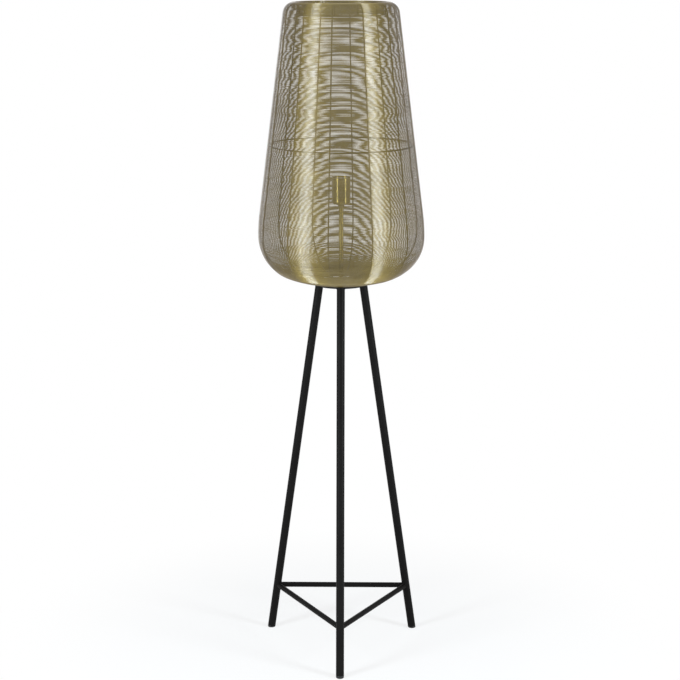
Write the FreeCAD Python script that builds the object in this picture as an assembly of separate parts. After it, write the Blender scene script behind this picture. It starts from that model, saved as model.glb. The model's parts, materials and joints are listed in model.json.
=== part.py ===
"""Wire cage floor lamp: a welded tripod, a wire-wound cage shade and a lampholder on a stem.

All sizes are in millimetres. The origin is on the lamp's axis at floor level and +Z is up.
The front leg points along -Y. Each sub-part is written to a file of its own.
"""

import FreeCAD
import Part
import math
import os

from FreeCAD import Vector

# ---------------------------------------------------------------- tripod
PLATE_TOP = 858.0            # floor to the upper face of the tripod's plate
PLATE_THICK = 4.0
PLATE_RADIUS = 58.0
PLATE_EAR_MARGIN = 1.5       # plate left outside each leg's edge
LEG_COUNT = 3
LEG_DIAMETER = 18.0
LEG_WALL = 1.5
LEG_FLOOR_RADIUS = 193.7     # lamp axis to a leg's centre line, at the floor
LEG_TOP_RADIUS = 55.5        # the same, at the underside of the plate
BRACE_DIAMETER = 12.0
BRACE_HEIGHT = 110.0         # floor to the centre line of the brace bars
CAP_HEAD = 4.5               # length of a foot cap outside its leg, on the leg's centre line
CAP_EDGE = 1.2               # bevel round the cap's sole
CAP_PLUG_LENGTH = 14.0
CAP_PLUG_SIDES = 6           # the plug grips the tube with this many corners

# ---------------------------------------------------------------- cage frame
FRAME_WIRE_SIDES = 4         # the ribs' round wire is drawn as a square of the same area
RIB_COUNT = 12
RIB_DIAMETER = 3.0
RIB_TURN = 22.1              # degrees from the front leg to the first rib, anticlockwise
BASE_APOTHEM = 50.0          # lamp axis to the flats of the base plate, one flat for each rib
BASE_THICK = 2.5
RIB_RISE = 1.6               # face of the tripod's plate to the centre of a rib's inner end
FLOOR_LEAN = 8.2             # degrees above level, where the ribs leave the base plate
FLOOR_RADIUS = 490.0         # the outline's five radii are on the outside of the wound shade
BOWL_LEAN = 15.8             # degrees above level, where the floor ends and the bowl's side starts
BOWL_RADIUS = 97.0
WALL_LEAN = 7.15             # degrees that the wall leans inwards
WALL_BLEND_RADIUS = 394.0
WALL_LENGTH = 438.3
SHOULDER_RADIUS = 25.7
COLLAR_BEND = 8.4
COLLAR_DEPTH = 21.0          # straight length of the inner collar
RING_DIAMETER = 3.0
MID_RING_HEIGHT = 1163.5     # floor to the ring inside the wall
COLLAR_RING_RISE = 2.5       # the collar ring's centre line above the rib ends

# ---------------------------------------------------------------- winding
WIRE_DIAMETER = 1.2
FINE_WIRE_SIDES = 3          # the fine wire is drawn as a triangle of the same area
WIRE_TURNS = 5
WIRE_WAIST = 40.0            # along the ribs, the second turn's climb over the widest place
WIRE_START = 14.0            # along the ribs from their inner ends to the first turn
WIRE_END = 2.5               # along the ribs from the last turn to their upper ends

# ---------------------------------------------------------------- stem
STEM_DIAMETER = 10.0
STEM_WALL = 1.0
STEM_TAIL = 3.0              # stem left below its lower nut
STEM_HEAD = 1.5              # stem left above its top nut
NUT_WIDTH = 14.0             # across the flats
NUT_HEIGHT = 4.0
NECK_DIAMETER = 17.0         # tapered nut that the cup sits on, at its upper end
NECK_HEIGHT = 8.0
NECK_RIM = 0.8               # wall of the neck at its lower end
BUSH_LENGTH = 10.0
BUSH_TAIL = 2.0              # bush left below the stem
BUSH_WALL = 0.9

# ---------------------------------------------------------------- lampholder
HOLDER_HEIGHT = 1033.0       # floor to the underside of the cup
CUP_DIAMETER = 40.0
CUP_LENGTH = 60.0
CUP_WALL = 1.0
CUP_FLOOR = 7.0
CUP_BEVEL = 6.0
INSERT_RISE = 14.0           # inside of the cup's bottom to the underside of the insert
INSERT_RECESS = 3.0          # rim of the cup above the insert
INSERT_FLOOR = 10.0          # underside of the insert to the floor of the socket
INSERT_SIDES = 12            # flats on the outside of the moulded insert
SOCKET_RADIUS = 13.3         # inside of the screw shell
SOCKET_LENGTH = 20.0         # length of the screw shell
SHELL_WALL = 0.4
SHELL_LEDGE = 1.2            # ledge in the insert that the screw shell stands on
SHELL_CLEARANCE = 1.0        # top of the raised contact to the screw shell's lower end
CONTACT_DIAMETER = 9.0
CONTACT_HEAD = 1.6
CONTACT_TRAVEL = 1.5
PIN_DIAMETER = 4.0
PIN_TAIL = 2.0               # pin left below the live strip with the contact up
SPRING_DIAMETER = 7.0
SPRING_WALL = 0.7
STRIP_WIDTH = 6.0
STRIP_THICK = 1.0
TERMINAL_HEIGHT = 7.0
TERMINAL_OFFSET = 13.5       # lamp axis to the centre of each terminal block
SCREW_DIAMETER = 3.0
SCREW_LENGTH = 5.0           # under the head
SCREW_HEAD_DIAMETER = 5.0
SCREW_HEAD = 1.8
EARTH_OFFSET = 10.5          # lamp axis to the earth screw in the cup's bottom
SMALL_SIDES = 8              # screws, pin and spring are drawn with this many sides

# ---------------------------------------------------------------- clearances
WELD_GAP = 0.05              # between pieces that are welded or clamped together
PUSH_GAP = 0.1               # round a piece that is pushed into another
THREAD_GAP = 0.15            # between a screw and its hole, which carry no thread here
SLIDE_GAP = 0.08             # round the moving contact
WIRE_GAP = 0.1               # between the winding and the ribs

UP = Vector(0, 0, 1)
ORIGIN = Vector(0, 0, 0)
PLATE_BOTTOM = PLATE_TOP - PLATE_THICK
STEM_HOLE = STEM_DIAMETER / 2 + THREAD_GAP
PARTS = {}


def add(name, shape):
    """Keep a finished sub-part under its name."""
    PARTS[name] = shape


def turned(shape, degrees):
    """A copy turned about the lamp's axis."""
    copy = shape.copy()
    copy.rotate(ORIGIN, UP, degrees)
    return copy


def rod(radius, low, high, centre=(0.0, 0.0)):
    """An upright cylinder between two heights."""
    return Part.makeCylinder(radius, high - low, Vector(centre[0], centre[1], low), UP)


def tube(outer, inner, low, high):
    """An upright tube between two heights."""
    return rod(outer, low, high).cut(rod(inner, low, high))


def block(width, depth, low, high, centre=(0.0, 0.0)):
    """An upright box between two heights."""
    corner = Vector(centre[0] - width / 2, centre[1] - depth / 2, low)
    return Part.makeBox(width, depth, high - low, corner)


def polygon(centre, normal, across, radius, sides):
    """A regular polygon round a centre, with a flat side towards the across direction."""
    side = normal.cross(across).normalize()
    corners = []
    for index in range(sides + 1):
        angle = 2 * math.pi * (index + 0.5) / sides
        corners.append(centre + across * (radius * math.cos(angle)) + side * (radius * math.sin(angle)))
    return Part.makePolygon(corners)


def prism(radius, sides, low, high, centre=(0.0, 0.0)):
    """An upright prism, given by the radius to its corners."""
    outline = polygon(Vector(centre[0], centre[1], low), UP, Vector(1, 0, 0), radius, sides)
    return Part.Face(outline).extrude(Vector(0, 0, high - low))


def wire_corner(diameter, sides):
    """Centre to corner of the polygon that has the area of a round wire."""
    step = 2 * math.pi / sides
    return diameter / 2 * math.sqrt(step / math.sin(step))


def wire_flat(diameter, sides):
    """Centre to flat side of the same polygon."""
    return wire_corner(diameter, sides) * math.cos(math.pi / sides)


# ================================================================ tripod
def leg_line():
    """Foot point, direction and length of the leg that points along +X."""
    foot = Vector(LEG_FLOOR_RADIUS, 0, 0)
    span = Vector(LEG_TOP_RADIUS, 0, PLATE_BOTTOM).sub(foot)
    length = span.Length
    return foot, span.normalize(), length


def leg_cylinder(radius, start, end):
    """A cylinder on the leg's centre line, from start to end along it."""
    foot, direction, _ = leg_line()
    return Part.makeCylinder(radius, end - start, foot + direction * start, direction)


def half_space(height, way):
    """A block that covers everything above (1) or below (-1) a height."""
    size = 4 * LEG_FLOOR_RADIUS
    return block(size, size, min(height, height + way * size), max(height, height + way * size))


def leg():
    """Steel tube, cut square at the floor end and level under the plate."""
    _, _, length = leg_line()
    over = length + LEG_DIAMETER
    shape = leg_cylinder(LEG_DIAMETER / 2, CAP_HEAD, over)
    shape = shape.cut(leg_cylinder(LEG_DIAMETER / 2 - LEG_WALL, CAP_HEAD, over))
    return shape.cut(half_space(PLATE_BOTTOM - WELD_GAP, 1))


def foot_cap():
    """Plastic cap whose plug is pushed into the leg and whose sole is level."""
    head = leg_cylinder(LEG_DIAMETER / 2, -LEG_DIAMETER, CAP_HEAD).cut(half_space(0, -1))
    sole = [e for e in head.Edges if e.BoundBox.ZMax < CAP_EDGE / 10]
    head = head.makeChamfer(CAP_EDGE, sole)
    foot, direction, _ = leg_line()
    corner = LEG_DIAMETER / 2 - LEG_WALL - PUSH_GAP
    outline = polygon(foot + direction * CAP_HEAD, direction, Vector(0, 1, 0), corner, CAP_PLUG_SIDES)
    return head.fuse(Part.Face(outline).extrude(direction * CAP_PLUG_LENGTH))


def brace():
    """Round bar between the two legs either side of -X, coped to them and mitred to its neighbours."""
    slope = (LEG_FLOOR_RADIUS - LEG_TOP_RADIUS) / PLATE_BOTTOM
    reach = LEG_FLOOR_RADIUS - slope * BRACE_HEIGHT
    half_turn = 180.0 / LEG_COUNT
    x = -reach * math.cos(math.radians(half_turn))
    half = reach * math.sin(math.radians(half_turn))
    bar = Part.makeCylinder(BRACE_DIAMETER / 2, 2 * half, Vector(x, -half, BRACE_HEIGHT), Vector(0, 1, 0))
    cope = leg_cylinder(LEG_DIAMETER / 2 + WELD_GAP, CAP_HEAD, 2 * BRACE_HEIGHT)
    size = 4 * LEG_FLOOR_RADIUS
    for side in (-1, 1):
        mitre = block(size, size, 0, 2 * BRACE_HEIGHT, (0.0, side * (size - WELD_GAP) / 2))
        bar = bar.cut(turned(cope.fuse(mitre), 180.0 + side * half_turn))
    return bar


def top_plate():
    """Round plate with an ear over each leg and a hole for the stem."""
    plate = rod(PLATE_RADIUS, PLATE_BOTTOM, PLATE_TOP)
    ear_radius = LEG_DIAMETER / 2 + PLATE_EAR_MARGIN
    ear = rod(ear_radius, PLATE_BOTTOM, PLATE_TOP, (LEG_TOP_RADIUS, 0.0))
    for index in range(LEG_COUNT):
        plate = plate.fuse(turned(ear, 360.0 * index / LEG_COUNT - 90.0))
    return plate.removeSplitter().cut(rod(STEM_HOLE, PLATE_BOTTOM, PLATE_TOP))


def make_tripod():
    add("top_plate", top_plate())
    leg_names = ("front", "right", "left")
    brace_names = ("rear", "left", "right")
    caps = []
    for index in range(LEG_COUNT):
        turn = 360.0 * index / LEG_COUNT - 90.0
        add("leg_" + leg_names[index], turned(leg(), turn))
        add("brace_" + brace_names[index], turned(brace(), turn))
        caps.append(turned(foot_cap(), turn))
    add("foot_caps", Part.makeCompound(caps))


# ================================================================ cage frame
class Outline:
    """A chain of lines and left-hand arcs in the (radius, height) plane."""

    def __init__(self, start, lean):
        self.start = start
        self.lean = math.radians(lean)
        self.turned = self.lean
        self.pieces = []

    def line(self, length):
        self.pieces.append((length, None))

    def arc_to(self, radius, lean):
        """Arc that ends at the given lean, in degrees anticlockwise from level."""
        turn = math.radians(lean) - self.turned
        self.turned += turn
        self.pieces.append((radius * turn, radius))

    def joints(self):
        """Distances along the chain at which its pieces meet, with both ends."""
        marks = [0.0]
        for length, _ in self.pieces:
            marks.append(marks[-1] + length)
        return marks

    def length(self):
        return self.joints()[-1]

    def at(self, distance):
        """Radius, height and lean, in radians, at a distance along the chain."""
        r, z = self.start
        lean = self.lean
        for length, radius in self.pieces:
            part = min(distance, length)
            if radius is None:
                r += part * math.cos(lean)
                z += part * math.sin(lean)
            else:
                turn = part / radius
                r += radius * (math.sin(lean + turn) - math.sin(lean))
                z += radius * (math.cos(lean) - math.cos(lean + turn))
                lean += turn
            distance -= part
        return r, z, lean

    def at_height(self, height):
        """Radius and lean where the rising part of the chain passes a height."""
        low = 0.0
        high = self.joints()[-3]
        while high - low > 1e-6:
            middle = (low + high) / 2
            if self.at(middle)[1] < height:
                low = middle
            else:
                high = middle
        r, _, lean = self.at(low)
        return r, lean


def cage_outline(inset):
    """The cage's outline, a distance inside the outer face of the winding."""
    lean = math.radians(FLOOR_LEAN)
    depth = inset - RIB_INSET
    rib_end = BASE_APOTHEM + WELD_GAP + RIB_DIAMETER / 2 * math.sin(lean)
    start = (rib_end - depth * math.sin(lean), PLATE_TOP + RIB_RISE + depth * math.cos(lean))
    chain = Outline(start, FLOOR_LEAN)
    chain.arc_to(FLOOR_RADIUS - inset, BOWL_LEAN)
    chain.arc_to(BOWL_RADIUS - inset, 90.0)
    chain.arc_to(WALL_BLEND_RADIUS - inset, 90.0 + WALL_LEAN)
    chain.line(WALL_LENGTH)
    chain.arc_to(SHOULDER_RADIUS - inset, 180.0)
    chain.arc_to(COLLAR_BEND - inset, 270.0)
    chain.line(COLLAR_DEPTH)
    return chain


RIB_INSET = WIRE_DIAMETER + WIRE_GAP + RIB_DIAMETER / 2


def outline_edges(chain):
    """The chain as lines and arcs in the plane of +X, and its two ends."""

    def point(distance):
        r, z, _ = chain.at(distance)
        return Vector(r, 0, z)

    edges = []
    for (_, radius), low, high in zip(chain.pieces, chain.joints(), chain.joints()[1:]):
        if radius is None:
            edges.append(Part.LineSegment(point(low), point(high)).toShape())
        else:
            edges.append(Part.Arc(point(low), point((low + high) / 2), point(high)).toShape())
    return edges, point(0), point(chain.length())


def rib():
    """One bent wire, from the base plate out round the bowl and over into the collar."""
    flat = wire_flat(RIB_DIAMETER, FRAME_WIRE_SIDES)
    outer, outer_foot, outer_tip = outline_edges(cage_outline(RIB_INSET - flat))
    inner, inner_foot, inner_tip = outline_edges(cage_outline(RIB_INSET + flat))
    foot = Part.LineSegment(outer_foot, inner_foot).toShape()
    tip = Part.LineSegment(outer_tip, inner_tip).toShape()
    loop = Part.Wire(Part.sortEdges(outer + [tip] + inner + [foot])[0])
    bent = Part.Face(loop).extrude(Vector(0, 2 * flat, 0))
    bent.translate(Vector(0, -flat, 0))
    return bent


def ring(radius, height):
    """Closed hoop of wire."""
    corner = wire_corner(RING_DIAMETER, FRAME_WIRE_SIDES)
    section = polygon(Vector(radius, 0, height), Vector(0, 1, 0), UP, corner, FRAME_WIRE_SIDES)
    return Part.Face(section).revolve(ORIGIN, UP, 360)


def cage_base():
    """Flat plate with one side for each rib and a hole for the stem."""
    corner = BASE_APOTHEM / math.cos(math.pi / RIB_COUNT)
    plate = prism(corner, RIB_COUNT, PLATE_TOP, PLATE_TOP + BASE_THICK)
    plate = plate.cut(rod(STEM_HOLE, PLATE_TOP, PLATE_TOP + BASE_THICK))
    return turned(plate, RIB_TURN - 90.0)


def make_cage_frame():
    add("cage_base", cage_base())
    for index in range(RIB_COUNT):
        turn = RIB_TURN - 90.0 + 360.0 * index / RIB_COUNT
        add("rib_%02d" % (index + 1), turned(rib(), turn))
    chain = cage_outline(RIB_INSET)
    ring_flat = wire_flat(RING_DIAMETER, FRAME_WIRE_SIDES)
    rib_flat = wire_flat(RIB_DIAMETER, FRAME_WIRE_SIDES)
    r, lean = chain.at_height(MID_RING_HEIGHT + ring_flat)
    add("mid_ring", ring(r - rib_flat / math.sin(lean) - ring_flat - WELD_GAP, MID_RING_HEIGHT))
    r, z, _ = chain.at(chain.length())
    add("collar_ring", ring(r + rib_flat + ring_flat + WELD_GAP, z + COLLAR_RING_RISE))


# ================================================================ winding
def winding_marks(chain):
    """Numbers of turns with the distances along the outline that the wire reaches after them."""
    joints = chain.joints()
    widest, wall_end, crest = joints[2], joints[4], joints[5]
    return [
        (0, WIRE_START),
        (1, widest - WIRE_WAIST / 2),
        (2, widest + WIRE_WAIST / 2),
        (WIRE_TURNS - 1, wall_end),
        (WIRE_TURNS - 0.5, crest),
        (WIRE_TURNS, chain.length() - WIRE_END),
    ]


def winding_point(chain, turn):
    """Point on the winding after a number of turns, evenly wound from mark to mark."""
    marks = winding_marks(chain)
    index = 0
    while index < len(marks) - 2 and turn > marks[index + 1][0]:
        index += 1
    first_turn, first = marks[index]
    last_turn, last = marks[index + 1]
    share = (turn - first_turn) / (last_turn - first_turn)
    r, z, _ = chain.at(first + (last - first) * share)
    angle = 2 * math.pi * turn
    return Vector(r * math.cos(angle), r * math.sin(angle), z)


def arc_middle(start, way, end):
    """Middle and radius of the arc between two points that leaves the first one along way."""
    chord = end.sub(start)
    along = Vector(chord).normalize()
    across = way.sub(along * way.dot(along))
    lean = math.atan2(across.Length, way.dot(along))
    rise = chord.Length / 2 * math.tan(lean / 2)
    return (start + end) * 0.5 + across.normalize() * rise, chord.Length / (2 * math.sin(lean))


def biarc(start, start_way, end, end_way):
    """Two arcs that meet smoothly and keep the way at both ends, with the smaller radius."""
    span = end.sub(start)
    ways = start_way + end_way
    spread = 2 * (1 - start_way.dot(end_way))
    reach = (math.sqrt(span.dot(ways) ** 2 + spread * span.dot(span)) - span.dot(ways)) / spread
    meet = (start + end + (start_way - end_way) * reach) * 0.5
    first, first_radius = arc_middle(start, start_way, meet)
    last, last_radius = arc_middle(end, end_way * -1, meet)
    edges = [Part.Arc(start, first, meet).toShape(), Part.Arc(meet, last, end).toShape()]
    return edges, min(first_radius, last_radius)


def winding():
    """One unbroken tube of fine wire round the ribs, on biarcs of a quarter turn."""
    chain = cage_outline(WIRE_DIAMETER / 2)
    step = 1e-4

    def way(turn):
        return winding_point(chain, turn + step).sub(winding_point(chain, turn - step)).normalize()

    edges = []
    radii = []
    for quarter in range(4 * WIRE_TURNS):
        start = quarter / 4
        end = (quarter + 1) / 4
        pair, radius = biarc(winding_point(chain, start), way(start), winding_point(chain, end), way(end))
        edges += pair
        radii.append(radius)
    path = Part.Wire(edges)
    inward = UP.cross(way(0)).normalize()
    corner = wire_corner(WIRE_DIAMETER, FINE_WIRE_SIDES)
    section = polygon(winding_point(chain, 0), way(0), inward, corner, FINE_WIRE_SIDES)
    shape = path.makePipeShell([section], True, False)
    swept = Part.Face(section).Area * path.Length
    print("winding: smallest bend radius %.1f mm" % min(radii))
    print("winding: volume over section times length %.4f" % (shape.Volume / swept))
    print("winding: least gap to itself %.2f mm" % least_gap(edges))
    return shape


def least_gap(edges):
    """Least clear distance from the winding to its other turns, measured on points."""
    per_edge = 6
    points = []
    for edge in edges:
        points += edge.discretize(Number=per_edge + 1)[:-1]
    turn = 8 * per_edge
    gaps = []
    for index, point in enumerate(points):
        others = points[index + turn // 2:index + 2 * turn]
        gaps += [point.distanceToPoint(other) for other in others]
    return min(gaps) - 2 * wire_corner(WIRE_DIAMETER, FINE_WIRE_SIDES)


# ================================================================ stem
def hexagon_nut(low):
    """Hexagon nut on the stem."""
    corner = NUT_WIDTH / 2 / math.cos(math.pi / 6)
    return prism(corner, 6, low, low + NUT_HEIGHT).cut(rod(STEM_HOLE, low, low + NUT_HEIGHT))


def neck():
    """Tapered round nut that the cup sits on."""
    low = HOLDER_HEIGHT - NECK_HEIGHT
    taper = Part.makeCone(STEM_HOLE + NECK_RIM, NECK_DIAMETER / 2, NECK_HEIGHT, Vector(0, 0, low), UP)
    return taper.cut(rod(STEM_HOLE, low, HOLDER_HEIGHT))


def make_stem():
    """Threaded tube with the nuts that clamp the plates and the cup, and a bush for a cord."""
    lower_nut = PLATE_BOTTOM - NUT_HEIGHT
    lock_nut = HOLDER_HEIGHT + CUP_FLOOR
    nuts = [hexagon_nut(low) for low in (lower_nut, PLATE_TOP + BASE_THICK, lock_nut)]
    add("stem_nuts", Part.makeCompound(nuts + [neck()]))
    low = lower_nut - STEM_TAIL
    bore = STEM_DIAMETER / 2 - STEM_WALL
    add("stem", tube(STEM_DIAMETER / 2, bore, low, lock_nut + NUT_HEIGHT + STEM_HEAD))
    bush_low = low - BUSH_TAIL
    inlet = bore - PUSH_GAP - BUSH_WALL
    add("cord_bush", tube(bore - PUSH_GAP, inlet, bush_low, bush_low + BUSH_LENGTH))
    print("cord inlet: radius %.2f mm, from height %.2f mm, %.1f mm long" % (inlet, bush_low, BUSH_LENGTH))


# ================================================================ lampholder
def holder_cup():
    """Metal cup with a bevelled bottom edge, open at the top."""
    radius = CUP_DIAMETER / 2
    low = HOLDER_HEIGHT
    outline = [
        (STEM_HOLE, low),
        (radius - CUP_BEVEL, low),
        (radius, low + CUP_BEVEL),
        (radius, low + CUP_LENGTH),
        (radius - CUP_WALL, low + CUP_LENGTH),
        (radius - CUP_WALL, low + CUP_FLOOR),
        (STEM_HOLE, low + CUP_FLOOR),
        (STEM_HOLE, low),
    ]
    cup = Part.Face(Part.makePolygon([Vector(r, 0, z) for r, z in outline])).revolve(ORIGIN, UP, 360)
    hole_radius = SCREW_DIAMETER / 2 + THREAD_GAP
    floor = low + CUP_FLOOR
    return cup.cut(prism(hole_radius, SMALL_SIDES, floor - SCREW_LENGTH - THREAD_GAP, floor, (0.0, EARTH_OFFSET)))


def screw(seat, way, centre):
    """Cheese-head screw whose shank leaves the seat upwards (1) or downwards (-1)."""
    shank = sorted((seat, seat + way * SCREW_LENGTH))
    head = sorted((seat, seat - way * SCREW_HEAD))
    shape = prism(SCREW_DIAMETER / 2, SMALL_SIDES, shank[0], shank[1], centre)
    return shape.fuse(prism(SCREW_HEAD_DIAMETER / 2, SMALL_SIDES, head[0], head[1], centre))


def make_contact(low, head, shell_low):
    """Sprung centre contact, the strip that guides it and the strip to the screw shell."""
    strip_low = low - STRIP_THICK
    pin = prism(PIN_DIAMETER / 2, SMALL_SIDES, strip_low - PIN_TAIL, head)
    add("centre_contact", rod(CONTACT_DIAMETER / 2, head, head + CONTACT_HEAD).fuse(pin))
    coil = prism(SPRING_DIAMETER / 2, SMALL_SIDES, low, head)
    add("contact_spring", coil.cut(prism(SPRING_DIAMETER / 2 - SPRING_WALL, SMALL_SIDES, low, head)))

    strip_end = TERMINAL_OFFSET + STRIP_WIDTH / 2
    half = (strip_end + SPRING_DIAMETER / 2 + STRIP_THICK) / 2
    live = block(2 * half, STRIP_WIDTH, strip_low, low, (half - strip_end, 0.0))
    add("live_strip", live.cut(prism(PIN_DIAMETER / 2 + SLIDE_GAP, SMALL_SIDES, strip_low, low)))
    neutral = block(STRIP_WIDTH, STRIP_WIDTH, strip_low, low, (TERMINAL_OFFSET, 0.0))
    riser = block(STRIP_THICK, STRIP_WIDTH, low, shell_low, (SOCKET_RADIUS + SHELL_WALL / 2, 0.0))
    add("neutral_strip", neutral.fuse(riser))


def make_terminals(strip_low):
    """A screw terminal under each strip, and the earth screw in the cup."""
    blocks = []
    screws = []
    low = strip_low - TERMINAL_HEIGHT
    for x in (-TERMINAL_OFFSET, TERMINAL_OFFSET):
        hole = prism(SCREW_DIAMETER / 2 + THREAD_GAP, SMALL_SIDES, low, strip_low, (x, 0.0))
        blocks.append(block(STRIP_WIDTH, STRIP_WIDTH, low, strip_low, (x, 0.0)).cut(hole))
        screws.append(screw(low, 1, (x, 0.0)))
    add("terminal_blocks", Part.makeCompound(blocks))
    add("terminal_screws", Part.makeCompound(screws))
    add("earth_screw", screw(HOLDER_HEIGHT + CUP_FLOOR, -1, (0.0, EARTH_OFFSET)))


def make_holder():
    """Cup, insulating insert, screw shell, contacts and terminals."""
    add("holder_cup", holder_cup())
    low = HOLDER_HEIGHT + CUP_FLOOR + INSERT_RISE
    high = HOLDER_HEIGHT + CUP_LENGTH - INSERT_RECESS
    floor = low + INSERT_FLOOR
    head = floor + CONTACT_TRAVEL + SLIDE_GAP
    shell_low = head + CONTACT_HEAD + SHELL_CLEARANCE
    shell_high = shell_low + SOCKET_LENGTH
    shell_outer = SOCKET_RADIUS + SHELL_WALL
    insert = prism(CUP_DIAMETER / 2 - CUP_WALL - PUSH_GAP, INSERT_SIDES, low, high)
    insert = insert.cut(rod(shell_outer + PUSH_GAP, shell_low, high))
    insert = insert.cut(prism(shell_outer - SHELL_LEDGE, INSERT_SIDES, floor, shell_low))
    insert = insert.cut(prism(SPRING_DIAMETER / 2 + SLIDE_GAP, SMALL_SIDES, low, floor))
    slot_centre = (SOCKET_RADIUS + SHELL_WALL / 2, 0.0)
    slot = block(STRIP_THICK + 2 * PUSH_GAP, STRIP_WIDTH + 2 * PUSH_GAP, low, shell_low, slot_centre)
    add("holder_insert", insert.cut(slot))
    add("screw_shell", tube(shell_outer, SOCKET_RADIUS, shell_low, shell_high))
    print("screw shell: radius %.2f mm, height %.2f to %.2f mm" % (SOCKET_RADIUS, shell_low, shell_high))
    make_contact(low, head, shell_low)
    make_terminals(low - STRIP_THICK)


def main():
    make_tripod()
    make_cage_frame()
    add("winding", winding())
    make_stem()
    make_holder()
    os.makedirs("parts", exist_ok=True)
    for name, shape in PARTS.items():
        shape.exportStep("parts/%s.step" % name)
    whole = Part.makeCompound(list(PARTS.values())).BoundBox
    print("%d nodes, %.1f x %.1f x %.1f mm" % (len(PARTS), whole.XLength, whole.YLength, whole.ZLength))


main()
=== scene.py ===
# %% [markdown]
# # A wire cage floor lamp
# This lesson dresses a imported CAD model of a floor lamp. The tripod, the ribs and the lampholder
# come from the frame at their true sizes. What Blender adds is the finish of each surface and the
# detail that a CAD model leaves out, above all the hundreds of turns of fine wire round the shade.

# %% Load the frame
import json
import math

import bmesh
import bpy
import numpy as np
from mathutils import Matrix, Vector


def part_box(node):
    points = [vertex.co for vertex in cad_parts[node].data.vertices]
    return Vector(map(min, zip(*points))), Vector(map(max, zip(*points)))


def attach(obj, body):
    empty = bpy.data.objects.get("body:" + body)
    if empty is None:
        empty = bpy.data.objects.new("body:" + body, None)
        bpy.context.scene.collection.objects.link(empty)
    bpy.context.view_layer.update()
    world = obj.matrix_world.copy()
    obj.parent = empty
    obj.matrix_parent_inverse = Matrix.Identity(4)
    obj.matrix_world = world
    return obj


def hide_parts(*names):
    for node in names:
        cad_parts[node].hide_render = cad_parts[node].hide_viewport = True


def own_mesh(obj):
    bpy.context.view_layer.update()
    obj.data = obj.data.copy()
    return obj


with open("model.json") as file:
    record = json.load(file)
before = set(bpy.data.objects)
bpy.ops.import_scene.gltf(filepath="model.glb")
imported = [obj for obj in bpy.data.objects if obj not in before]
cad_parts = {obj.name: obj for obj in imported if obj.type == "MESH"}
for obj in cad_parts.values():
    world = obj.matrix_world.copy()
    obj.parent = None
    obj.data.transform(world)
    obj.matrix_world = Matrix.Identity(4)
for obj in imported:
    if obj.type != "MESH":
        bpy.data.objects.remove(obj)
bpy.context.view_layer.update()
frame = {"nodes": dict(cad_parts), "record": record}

print("CAD nodes:", len(frame["nodes"]))

# %% [markdown]
# ## The camera
# The photograph was taken from a little above the top of the lamp, with a long lens that looks
# down 13 degrees. The camera stands slightly to the right of the front leg. It could be
# aimed by eye, but its lens, place and pitch were fitted instead, until the edges of the tripod
# fell on those in the photograph. Only then does a comparison of the two pictures say anything.

# %% Camera
CAMERA_TURN = math.radians(0.8)
CAMERA_PITCH = math.radians(13.0)
CAMERA_PLACE = (-0.00262, -3.6742, 1.5744)
CAMERA_LENS = 89.08
turn = Matrix.Rotation(CAMERA_TURN, 4, "Z")
tilt = Matrix.Rotation(math.pi / 2 - CAMERA_PITCH, 4, "X")
camera_data = bpy.data.cameras.new("camera")
camera_data.lens = CAMERA_LENS
camera_data.sensor_width = 36.0
camera = bpy.data.objects.new("camera", camera_data)
bpy.context.scene.collection.objects.link(camera)
camera.matrix_world = turn @ Matrix.Translation(CAMERA_PLACE) @ tilt
bpy.context.scene.camera = camera
bpy.context.scene.view_settings.view_transform = "Standard"
print("camera: %.2f m from the lamp's axis" % math.hypot(*CAMERA_PLACE[:2]))

# %% [markdown]
# ## Small helpers
# Every new piece goes through the same steps: a bmesh becomes a mesh, gets a material, and rides
# on a body of the frame. One helper keeps those steps in one place.

# %% Helper for a finished piece
MM = 0.001


def make_piece(bm, name, material, nodes=(), body="lamp", smooth=True):
    """Turns a bmesh into an object that rides on a body and stands for some CAD nodes."""
    mesh = bpy.data.meshes.new(name)
    bm.to_mesh(mesh)
    bm.free()
    return keep_piece(mesh, name, material, nodes, body, smooth)


def keep_piece(mesh, name, material, nodes=(), body="lamp", smooth=True):
    """Gives a mesh its material and its body, and hides the CAD nodes that it stands for."""
    mesh.shade_smooth() if smooth else mesh.shade_flat()
    mesh.materials.clear()
    mesh.materials.append(material)
    piece = bpy.data.objects.new(name, mesh)
    bpy.context.scene.collection.objects.link(piece)
    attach(piece, body)
    if nodes:
        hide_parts(*nodes)
    print(name, len(mesh.polygons), "faces")
    return piece


# %% [markdown]
# ## Shader groups
# Every finish of the lamp is put together from three effects, so each effect is a node group with
# named sockets. *Patina* mixes two colours, *Grain* is a fine bump, and *Turning Lines* are the
# rings on a turned piece. A copy of the nodes in each material would do the same, but a change
# would then have to be made eight times.

# %% Helpers for node trees
def new_group(name, inputs, outputs):
    """An empty shader group with named sockets."""
    tree = bpy.data.node_groups.new(name, "ShaderNodeTree")
    for socket, kind, value in inputs:
        made = tree.interface.new_socket(name=socket, in_out="INPUT", socket_type=kind)
        made.default_value = value
    for socket, kind in outputs:
        tree.interface.new_socket(name=socket, in_out="OUTPUT", socket_type=kind)
    start = tree.nodes.new("NodeGroupInput")
    end = tree.nodes.new("NodeGroupOutput")
    return tree, start, end


def node(tree, kind, **settings):
    """A node with its settings: sockets by name in sockets, the rest as attributes."""
    made = tree.nodes.new(kind)
    sockets = settings.pop("sockets", {})
    for name, value in settings.items():
        setattr(made, name, value)
    for name, value in sockets.items():
        made.inputs[name].default_value = value
    return made


def link(tree, source, output, target, socket):
    tree.links.new(source.outputs[output], target.inputs[socket])


# %% [markdown]
# ### Patina
# Neither plated brass nor powder coat is one flat colour: the layer differs in thickness, and dust
# sits in it. An image could show that, but noise in object space needs no unwrapping and keeps its
# scale on every piece. Soft clouds and fine specks are blended, and the result mixes two colours.

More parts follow.
